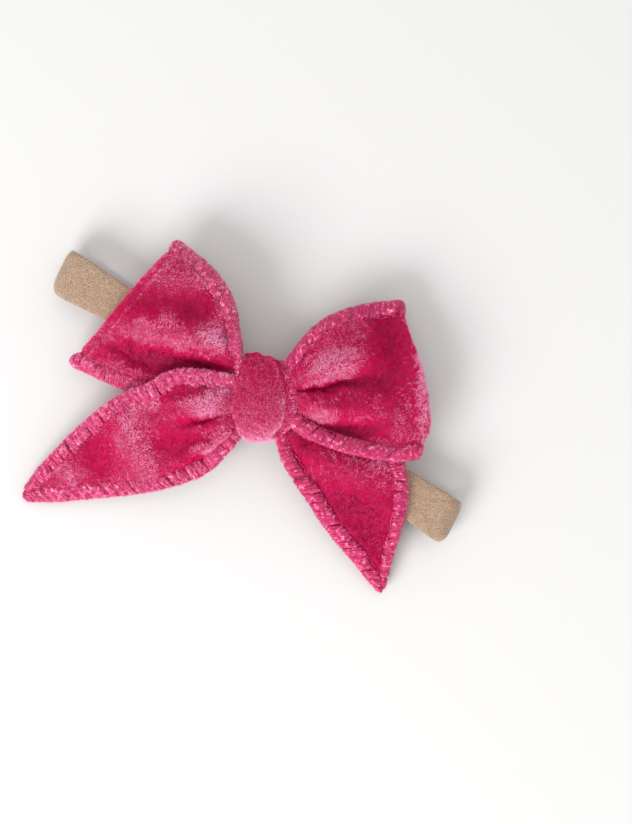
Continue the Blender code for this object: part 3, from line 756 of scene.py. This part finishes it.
def left_tail():
    columns, rows = 60, 132
    upper = [(-4.4, 4.8, 16.2), (-8.4, 5.7, 17.2), (-16, 7, 18.2), (-23, 6.7, 17.8), (-28.6, 3.6, 16),
             (-37, 0.2, 13.2), (-46.6, -7.1, 9.2), (-53.6, -13.9, 6), (-57.6, -18, 4.2),
             (-60.9, -22.4, 2.7)]
    lower = [(-4.4, -6.6, 13.2), (-8, -11.4, 12), (-14.2, -17.5, 10.2), (-20.5, -20.4, 8.8),
             (-29, -22.6, 6.9), (-37, -23.7, 5.3), (-46, -24.6, 3.8), (-54, -25.3, 2.8), (-60.7, -25.2, 2.4)]
    grid = wing_grid(rows, columns, upper, lower, [(-4.4, -0.8, 15.4)], [(-61.5, -23.9, 2.5)])
    folds = [
        (2, [(-8, 1.7, 0.7, 1.3), (-15.9, -0.8, 1.7, 2), (-22, -2.4, 1.3, 2.6), (-28, -3.2, 0.3, 3)]),
        (1.4, [(-8.5, -3.2, -0.9, 0.7), (-12.3, -4.4, -2.5, 0.9), (-17, -5.5, -2.6, 1.1),
               (-21.2, -6.3, -1.5, 1.5), (-25, -6.8, -0.2, 2)]),
        (2, [(-14, -8.6, -0.9, 2.2), (-20, -10.4, -2.2, 3.4), (-26, -11.2, -1.9, 3.8),
               (-30, -11.5, -0.5, 3)]),
        (1.8, [(-7.6, -6.3, 0.7, 0.9), (-12.5, -10.4, 1.6, 1.3), (-17.7, -13.6, 1.7, 1.8),
               (-23, -16.3, 0.4, 2.4)]),
        (1.4, [(-8.8, -9.4, -0.9, 0.6), (-13.5, -13.2, -1.9, 0.8), (-17.9, -15.8, -1.7, 1),
               (-22, -17.8, -0.3, 1.6)]),
        (2, [(-38.4, -1.4, 0.6, 3.2), (-33.5, -10.3, 2.1, 3.6), (-30.8, -19.6, 1.2, 3)]),
        (2, [(-44.5, -9.5, -0.5, 3), (-41.5, -14.5, -1.6, 3.8), (-39, -20.5, -0.9, 3.2)]),
        (2, [(-49.5, -13.8, 0.5, 2.6), (-50.8, -21, 0.9, 2.6)]),
        (1.4, [(-7.8, 3.2, -0.8, 0.6), (-12, 3.4, -1.5, 0.7), (-17.5, 3.4, -0.4, 1.2)]),
    ]
    relief(grid, (0.3, 2.2, 3, 3.4, 3, 2, 0.9, 0.1), 0.95, folds, 12, 19, 31)
    # Painted light and shade: positive spots paint highlights on ridges, negative ones paint shade in valleys
    # and creases
    spots = [(-14.5, -1.2, 6.5, 2.2, 0.95), (-10, 1.8, 3, 2, 0.45), (-11, -7.6, 2.6, 3, 0.50),
             (-16, -12.4, 4.4, 1.6, 0.68), (-33, -8, 3.4, 6, 0.38), (-30, -17.5, 3, 3, 0.32),
             (-50, -18.6, 3.2, 3.8, 0.60), (-22, -10.5, 5.4, 3.8, -0.66), (-42, -13.8, 3.8, 5.6, -0.62),
             (-23, 1.6, 4, 2.4, -0.32), (-29.5, -1, 4, 2.4, 0.52), (-16, -5.3, 5, 0.8, -1.1),
             (-15.5, -14.6, 4, 0.8, -1)]
    return dress("left_tail", grid, spots, (4, 3.6), 51, bare_start=2.5, thread_painted_light=0.30)


def right_tail():
    columns, rows = 66, 112
    upper = [(4.4, -3.6, 12), (10, -4.8, 12), (18, -7, 12), (28, -10.4, 12), (33.6, -14.6, 11.6),
             (34.9, -19.4, 10.7), (35.2, -25, 9), (33.8, -31.7, 6.9), (31.9, -38.5, 4.6),
             (29.9, -47.6, 2.6)]
    lower = [(2.8, -8.4, 12.2), (5.2, -16, 11), (10.8, -24.8, 9), (15.8, -32.4, 7),
             (22.2, -40.2, 4.8), (26.2, -45.2, 3.4), (29, -48.4, 2.5)]
    grid = wing_grid(rows, columns, upper, lower, [(3.8, -6, 12.3)], [(29.5, -48.1, 2.5)])
    folds = [
        (2, [(8, -11.4, 0.5, 1.8), (16, -15.4, 1.3, 2.6), (25, -19.2, 1.5, 3), (33, -23, 0.4, 3)]),
        (2, [(11, -19.5, -0.7, 2), (18, -25, -1.3, 3), (25, -31, -1.5, 4), (28.5, -38, -0.6, 3)]),
        (1.5, [(4.6, -10.6, -0.9, 0.9), (8, -14.6, -0.8, 1.1), (13, -20.5, -0.2, 1.6)]),
        (2, [(27, -16.6, 0.5, 2), (32, -18, 0.4, 2)]),
    ]
    relief(grid, (0.1, 0.3, 0.7, 1.6, 2, 1.6, 0.8, 0.1), 1, folds, 12, 16, 41)
    grid[..., 2] = keep_above(grid[..., 2], band_floor(grid, 1.4))
    # Painted light and shade: positive spots paint highlights, negative ones paint shade in hollows
    spots = [(14, -15.4, 5, 2.2, 0.02), (24, -19.8, 6, 2.2, 0.10), (28, -16.6, 3, 1.8, 0.46),
             (9, -13.2, 3, 3.4, -0.95), (25, -31, 7.5, 7.5, -1.12), (18, -25, 6.5, 4, -1.2),
             (29.5, -38, 3, 6, -0.6)]
    return dress("right_tail", grid, spots, (3.6, 3.3), 61, bare_start=30, thread_painted_light=-0.35)


# ---------------- knot

def ring_section(turns, top, bottom, front, back):
    """Rounded loop round the bow's middle: y and z at each turn, from the top and over the front."""
    across, over = np.cos(turns), np.sin(turns)
    high = np.where(across > 0, top, bottom)
    deep = np.where(over > 0, front, back)
    y = high * np.sign(across) * np.abs(across) ** (2 / RING_SQUARENESS)
    z = deep * np.sign(over) * np.abs(over) ** (2 / RING_SQUARENESS)
    return KNOT_CENTRE[1] + y, KNOT_CENTRE[2] + z


def edge_at(y, edge):
    """x at each y of an edge, which is given as (y, x) points from the top down."""
    heights, places = np.transpose(edge)
    return np.interp(-y, -heights, places)


def sleeve(turns, columns, left_edge, right_edge, sizes, drop):
    """A sleeve round the knot. drop is how far its sides roll in."""
    y, z = ring_section(turns, *sizes)
    s = np.sin(np.linspace(-math.pi / 2, math.pi / 2, columns))
    behind = ramp(-(z - KNOT_CENTRE[2]), -2.0, 3.0)
    left = edge_at(y, left_edge) * (1 - behind) + KNOT_BACK_LEFT * behind
    right = edge_at(y, right_edge) * (1 - behind) + KNOT_BACK_RIGHT * behind
    x = (left + right)[:, None] / 2 + (right - left)[:, None] / 2 * s
    middle = np.stack([np.zeros_like(y), y, z], axis=-1) - KNOT_CENTRE
    inwards = -unit(middle)[:, None]
    fall = (drop * (1 - np.sqrt(np.maximum(0, 1 - np.abs(s) ** 4))))[None, :, None]
    grid = np.stack([x, np.broadcast_to(y[:, None], x.shape), np.broadcast_to(z[:, None], x.shape)], axis=-1)
    return grid + inwards * fall * (0.35 + 0.65 * (1 - behind))[:, None, None]


def sleeve_normals(grid, closed):
    """Unit normals of a sleeve, facing away from the knot's middle."""
    if closed:
        around = np.roll(grid, -1, axis=0) - np.roll(grid, 1, axis=0)
    else:
        around = np.gradient(grid, axis=0)
    normal = unit(np.cross(around, np.gradient(grid, axis=1)))
    out = grid[..., 1:] - KNOT_CENTRE[1:]
    return normal if (normal[..., 1:] * out).sum() > 0 else -normal


def knot_wrap():
    """The wrap: a puffed velvet sleeve, frilled along its top."""
    rows, columns = 150, 56
    turns = np.linspace(0, 2 * math.pi, rows, endpoint=False)
    left_edge = [(12, -3.6), (9.6, -5.0), (7.9, -6.0), (3, -7.3), (-1.3, -7.9), (-6.3, -7.4), (-8.8, -6.0),
                 (-11, -3.4)]
    right_edge = [(10.5, 2.6), (8.6, 3.8), (4.7, 4.6), (3.4, 5.0), (0.4, 5.2), (-4.3, 5.0), (-7.2, 4.0),
                  (-9, 2.4), (-11, 1.0)]
    drop = np.linspace(0.9, 1.9, columns)
    grid = sleeve(turns, columns, left_edge, right_edge, (10.4, 10.4, 6.2, 5.3), drop)
    tilt = 1.5 * (grid[..., 0] + 1.0) / 6.5
    frill = 0.35 * noise(grid[..., [0, 0]], 1.5, 78)
    grid[..., 1] -= (tilt - frill) * ramp(grid[..., 1], 2, 9.5)
    front = ramp(grid[..., 2], 11, 14)
    lumps = 0.32 * noise(grid, 4.0, 71) + 0.18 * noise(grid, 1.8, 72)
    grid = grid + sleeve_normals(grid, True) * (lumps * front)[..., None]
    normals = sleeve_normals(grid, True)
    ground = cloth("knot_cloth", grid, normals, thick=KNOT_CLOTH_THICK, closed=True)
    return ground, knot_pile(grid, normals)


def knot_pile(grid, normals):
    """The wrap's pile, with painted light and shade: lighter towards its lower right, darker towards its top.
    """
    x, y, z = grid[..., 0], grid[..., 1], grid[..., 2]
    bright = 0.12 * noise(grid, 2.6, 73) - 0.030 * y + 0.17 + 0.40 * ramp(-y, 5, 10)
    bright = bright + 0.25 * ramp(x, 2.5, 4.6) * ramp(-y, -6, -2)
    lay = np.array([0.1, -0.5, 0.0]) + 0.2 * noise(grid, 5, 74)[..., None]
    column = np.arange(grid.shape[1])
    from_rim = np.minimum(column, column[::-1])
    density = np.where(z > 9.5, KNOT_PILE_DENSITY, KNOT_BACK_PILE_DENSITY) * ramp(from_rim, -1, 3)
    return pile("knot_pile", grid, grid_faces(*grid.shape[:2], True), normals, 75, density, 0.75,
                lay=lay, bright=bright, lean=0.35, jitter=0.3, clumps=0.14)


def knot_edge():
    """The wrap's overlocked edge, a strip beside it on the right."""
    turns = np.linspace(-0.35, math.pi + 0.30, 90)
    inner_edge = [(11, 2.6), (0, 3.6), (-11, 2.4)]
    outer_edge = [(9.4, 4.8), (8.4, 5.9), (4.7, 7.3), (0.4, 7.9), (-3, 7.5), (-7.7, 5.7), (-9, 4.4)]
    grid = sleeve(turns, 18, inner_edge, outer_edge, (9.0, 8.6, 5.2, 5.0), 0.6)
    normals = sleeve_normals(grid, False)
    ground = cloth("knot_edge_cloth", grid, normals)
    # Painted shade on the strip's inner side, by the gap beside the wrap, lighter outwards
    bright = np.broadcast_to(np.linspace(-0.9, 0.3, grid.shape[1]), grid.shape[:2])
    nap = pile("knot_edge_pile", grid, grid_faces(*grid.shape[:2]), normals, 76, KNOT_EDGE_PILE_DENSITY, 0.6,
               bright=bright)
    threads = serging("knot_edge_serging", grid, normals, -1, 1.7, 77, slant=0.6, radius=0.15)
    return ground, nap, threads


def gathered_core():
    """The bow strip where it is gathered, inside the knot: a pleated sleeve."""
    rows, columns = 168, 24
    half_high, half_deep, middle_height = 6.2, 2.0, 13.45
    turns = np.linspace(0, 2 * math.pi, rows, endpoint=False)
    pleats = 1 + 0.055 * np.cos(14 * turns)
    up = half_high * pleats * np.sign(np.cos(turns)) * np.abs(np.cos(turns)) ** 0.8
    out = half_deep * pleats * np.sign(np.sin(turns)) * np.abs(np.sin(turns)) ** 0.8
    waist = 1 - 0.10 * np.sin(np.linspace(0, math.pi, columns))
    x = np.broadcast_to(np.linspace(-5.5, 4.1, columns), (rows, columns))
    grid = np.stack([x, up[:, None] * waist, middle_height + out[:, None] * waist], axis=-1)
    return cloth("gathered_core_cloth", grid, sleeve_normals(grid, True), closed=True)


def wrap_end():
    """The wrap's overlapped end behind the band, with its pile facing backwards."""
    x = np.linspace(-6.2, 4.8, 40)
    y = np.linspace(5.0, -3.0, 30)
    grid = np.stack([*np.meshgrid(x, y, indexing="ij"), np.zeros((len(x), len(y)))], axis=-1)
    curl = np.maximum(0, np.abs(grid[..., 1] - 1.0) - 2.5)
    grid[..., 2] = 5.9 + 0.10 * curl**2 + 0.10 * noise(grid, 3, 81)
    normals = -grid_normals(grid)
    end = cloth("wrap_end_cloth", grid, normals)
    nap = pile("wrap_end_pile", grid, grid_faces(len(x), len(y)), normals, 82, WRAP_END_PILE_DENSITY, 0.5,
               lay=(0, -0.5, 0))
    return end, nap


def closing_stitches():
    """Three hand stitches of doubled thread over the wrap's end."""
    stitches = []
    for number, place in enumerate((-4.0, -0.7, 2.6), 1):
        along = np.linspace(0, 1, 14)
        height = 6.55 - 0.75 * np.sin(math.pi * along)
        paths = np.array([np.stack([place + shift + 0.35 * along, -5.5 + 2.3 * along, height], axis=-1)
                          for shift in (-0.2, 0.2)])
        points, faces, _ = tubes(paths, 0.19, np.broadcast_to([1.0, 0, 0], paths.shape))
        stitches.append(mesh_object(f"closing_stitch_{number}", points, faces, [THREAD]))
    return stitches


# ---------------- headband

def band_path():
    """x and z of each step round the ring in the row frame: front run, right end, back run, left end."""
    middle = FRONT_HIGH / 2
    reach = middle - BAND_HALF_THICK - 0.02
    run_steps = 260
    straight = np.linspace(0, 1, run_steps)
    bend = np.linspace(0, math.pi, 26)[1:-1]
    left, right = BAND_LEFT + middle, BAND_RIGHT - middle
    x = np.concatenate([left + (right - left) * straight, right + reach * np.sin(bend),
                        right + (left - right) * straight, left - reach * np.sin(bend)])
    z = np.concatenate([np.full(run_steps, middle + reach), middle + reach * np.cos(bend),
                        np.full(run_steps, middle - reach), middle - reach * np.cos(bend)])
    return np.stack([x, z], axis=-1)


def band_surface(path):
    """The ring's skin in the bow frame: a grid round its way, and its outward normals."""
    x, z = path.T
    along = unit(np.roll(path, -1, axis=0) - np.roll(path, 1, axis=0))
    out = np.stack([-along[:, 1], along[:, 0]], axis=-1)
    from_middle = np.abs(x - (BAND_LEFT + BAND_RIGHT) / 2)
    ends = ramp(from_middle, 38, 57)
    half = BAND_HALF_WIDTH + 0.95 * ends
    pinched = half - 2.4 * np.exp(-(x / 9.0) ** 4)
    half = np.where(z > FRONT_HIGH / 2 + 1, pinched, half)
    shift = -0.5 * ends + 0.12 * np.sin(x / 9.0)
    turns = np.linspace(0, 2 * math.pi, 56, endpoint=False)
    wide = np.sign(np.cos(turns)) * np.abs(np.cos(turns)) ** 0.55
    thick = BAND_HALF_THICK * np.sign(np.sin(turns)) * np.abs(np.sin(turns)) ** 0.75
    y = half[:, None] * wide + shift[:, None]
    corner = 1.2 * (np.abs(y) / 6.0) ** 5 * np.exp(-((from_middle - 57) / 3.5) ** 2)[:, None]
    shear = 0.12 * y * ends[:, None]
    grid = np.stack([x[:, None] + out[:, :1] * thick - np.sign(x)[:, None] * corner - shear,
                     y, z[:, None] + out[:, 1:] * thick], axis=-1)
    ripple = 0.10 * np.sin(grid[..., 0] * 1.1 + 2 * np.sin(grid[..., 1])) * ends[:, None]
    grid[..., 2] += ripple + 0.05 * noise(grid, 1.2, 91)
    grid = to_bow(grid)
    forward = np.roll(grid, -1, axis=0) - np.roll(grid, 1, axis=0)
    around = np.roll(grid, -1, axis=1) - np.roll(grid, 1, axis=1)
    normals = unit(np.cross(forward, around))
    return grid, normals * np.sign((normals[..., 2] * thick * out[:, 1:]).sum())


def headband():
    """The knitted nylon ring and its fluff."""
    grid, normals = band_surface(band_path())
    rows, columns = grid.shape[:2]
    i, j = np.meshgrid(np.arange(rows), np.arange(columns), indexing="ij")
    after, beside = (i + 1) % rows, (j + 1) % columns
    faces = np.stack([i * columns + j, after * columns + j,
                      after * columns + beside, i * columns + beside], axis=-1)
    points, normals = grid.reshape(-1, 3), normals.reshape(-1, 3)
    faces = facing(points, faces.reshape(-1, 4), normals)
    ring = mesh_object("headband", points, faces, [NYLON])
    density = NYLON_FLUFF_DENSITY * ramp(points[:, 2], 0.5, 1.0)
    fluff = pile("headband_fluff", points, faces, normals, 92, density, 0.32, radius=0.035, jitter=0.9,
                 clumps=0.1, shades=NYLON_FLUFF)
    return ring, fluff


# ---------------- camera, light and floor

def look_from_above():
    view_height, lens, sensor = 0.206, 100, 36
    camera = bpy.data.objects.new("camera", bpy.data.cameras.new("camera"))
    bpy.context.scene.collection.objects.link(camera)
    camera.data.lens = lens
    camera.data.sensor_width = sensor
    centre = to_row(np.array([12.75, -3.0, 10.0]))
    camera.location = (centre[0], centre[1], centre[2] + view_height * lens / sensor)
    camera.rotation_euler = (0, 0, BOW_TURN)
    camera.data.clip_start = 0.01
    bpy.context.scene.camera = camera


def area_light(name, towards, distance, size, watts):
    """A square light in a direction of the bow frame, aimed at the knot."""
    lamp = bpy.data.lights.new(name, "AREA")
    lamp.size = size
    lamp.energy = watts
    light = bpy.data.objects.new(name, lamp)
    bpy.context.scene.collection.objects.link(light)
    place = Vector(to_row(np.array(towards, float))).normalized() * distance
    light.location = place
    light.rotation_euler = place.to_track_quat("Z", "Y").to_euler()


def studio():
    scene = bpy.context.scene
    scene.view_settings.view_transform = "Standard"
    world = bpy.data.worlds.new("studio")
    world.use_nodes = True
    background = world.node_tree.nodes["Background"]
    background.inputs["Color"].default_value = (1.0, 1.0, 1.0, 1)
    background.inputs["Strength"].default_value = 0.76
    scene.world = world
    area_light("key", (-0.65, -0.76, 0.75), 0.9, 0.5, 7.6)
    area_light("top_fill", (0.1, 0.2, 1.0), 1.2, 0.9, 2.5)
    bpy.ops.mesh.primitive_plane_add(size=6)
    floor = bpy.context.object
    floor.name = "floor"
    material, shader = node_material("pale_floor", 0.9)
    shader.inputs["Base Color"].default_value = (0.69, 0.685, 0.68, 1)
    floor.data.materials.append(material)


# ---------------- assembly

WINGS = [
    # maker, the body over it and its own body, by name, two points along it, the CAD nodes it stands for,
    # flat size and area
    (left_loop, "core", "left_loop_body", (-7.0, 3.0, 15.0), (-16.0, 11.0, 15.0),
     ("left_loop", "left_loop_top_edging", "left_loop_bottom_edging"), (0.036, 0.076), 0.0025),
    (left_tail, "left_loop_body", "left_tail_body", (-7.0, -1.0, 15.0), (-17.0, -5.0, 15.0),
     ("left_tail", "left_tail_upper_edging", "left_tail_lower_edging"), (0.027, 0.062), 0.00125),
    (right_loop, "right_tail_body", "right_loop_body", (7.0, 2.0, 15.0), (17.0, 3.0, 15.0),
     ("right_loop", "right_loop_top_edging", "right_loop_bottom_edging"), (0.036, 0.076), 0.0025),
    (right_tail, "core", "right_tail_body", (5.0, -6.0, 12.0), (12.0, -14.0, 12.0),
     ("right_tail", "right_tail_right_edging", "right_tail_left_edging"), (0.027, 0.055), 0.00115),
]


def assemble_wings():
    for make, body, child, start, end, nodes, flat, area in WINGS:
        ground, piles, threads = make()
        for piece in (ground, *piles, *threads):
            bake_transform(piece)
        for piece, node in zip((ground, threads[0], threads[2]), nodes):
            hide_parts(node)


def assemble_knot():
    wrap, wrap_nap = knot_wrap()
    edge, edge_nap, threads = knot_edge()
    core = gathered_core()
    end, end_nap = wrap_end()
    stitches = closing_stitches()
    for piece in (wrap, wrap_nap, edge, edge_nap, core, end, end_nap):
        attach(piece, "core")
    for piece in threads:
        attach(piece, "core")
    for number, piece in enumerate(stitches, 1):
        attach(piece, "core")
        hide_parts(f"wrap_stitch_{number}")
    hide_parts("knot_wrap")
    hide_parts("knot_wrap_edging")
    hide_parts("gathered_core")
    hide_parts("knot_wrap_flap")
    gather_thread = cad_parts["gather_thread"]
    gather_thread.data.materials.clear()
    gather_thread.data.materials.append(THREAD)


def assemble_headband():
    ring, fluff = headband()
    for piece in (ring, fluff):
        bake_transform(piece)
    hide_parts("band_front_run", "band_back_run", "band_left_fold", "band_right_fold")


look_from_above()
studio()
assemble_knot()
assemble_wings()
assemble_headband()
